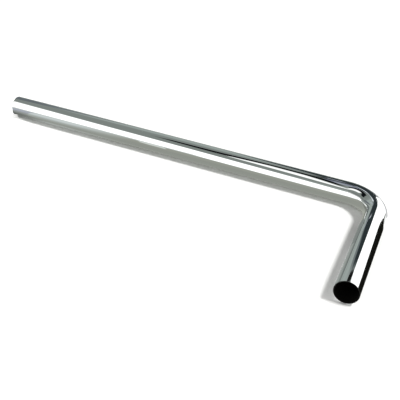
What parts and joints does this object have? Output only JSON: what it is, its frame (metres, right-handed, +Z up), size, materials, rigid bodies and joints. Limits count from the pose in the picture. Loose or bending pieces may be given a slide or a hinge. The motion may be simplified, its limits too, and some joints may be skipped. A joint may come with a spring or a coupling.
{
  "type": "trap floor pipe",
  "caption": "Chrome-plated round brass waste tube with one square bend: the short leg enters a washbasin trap's outlet and the long leg drops to the floor drain.",
  "frame": {"origin": "middle of the bounding box, on the surface that the pipe lies on", "axes": "+Z up from the surface that the pipe lies on, square to the plane of its bend; the long floor leg runs from the bend along -X and the short trap leg from the bend along -Y"},
  "size_m": [0.65, 0.25, 0.032],
  "materials": {
    "chrome_plate": "bright polished chrome plate on a drawn brass tube, bare and darkened inside the bore"
  },
  "bodies": {
    "root": {"floor_pipe": "chrome_plate"}
  },
  "joints": []
}
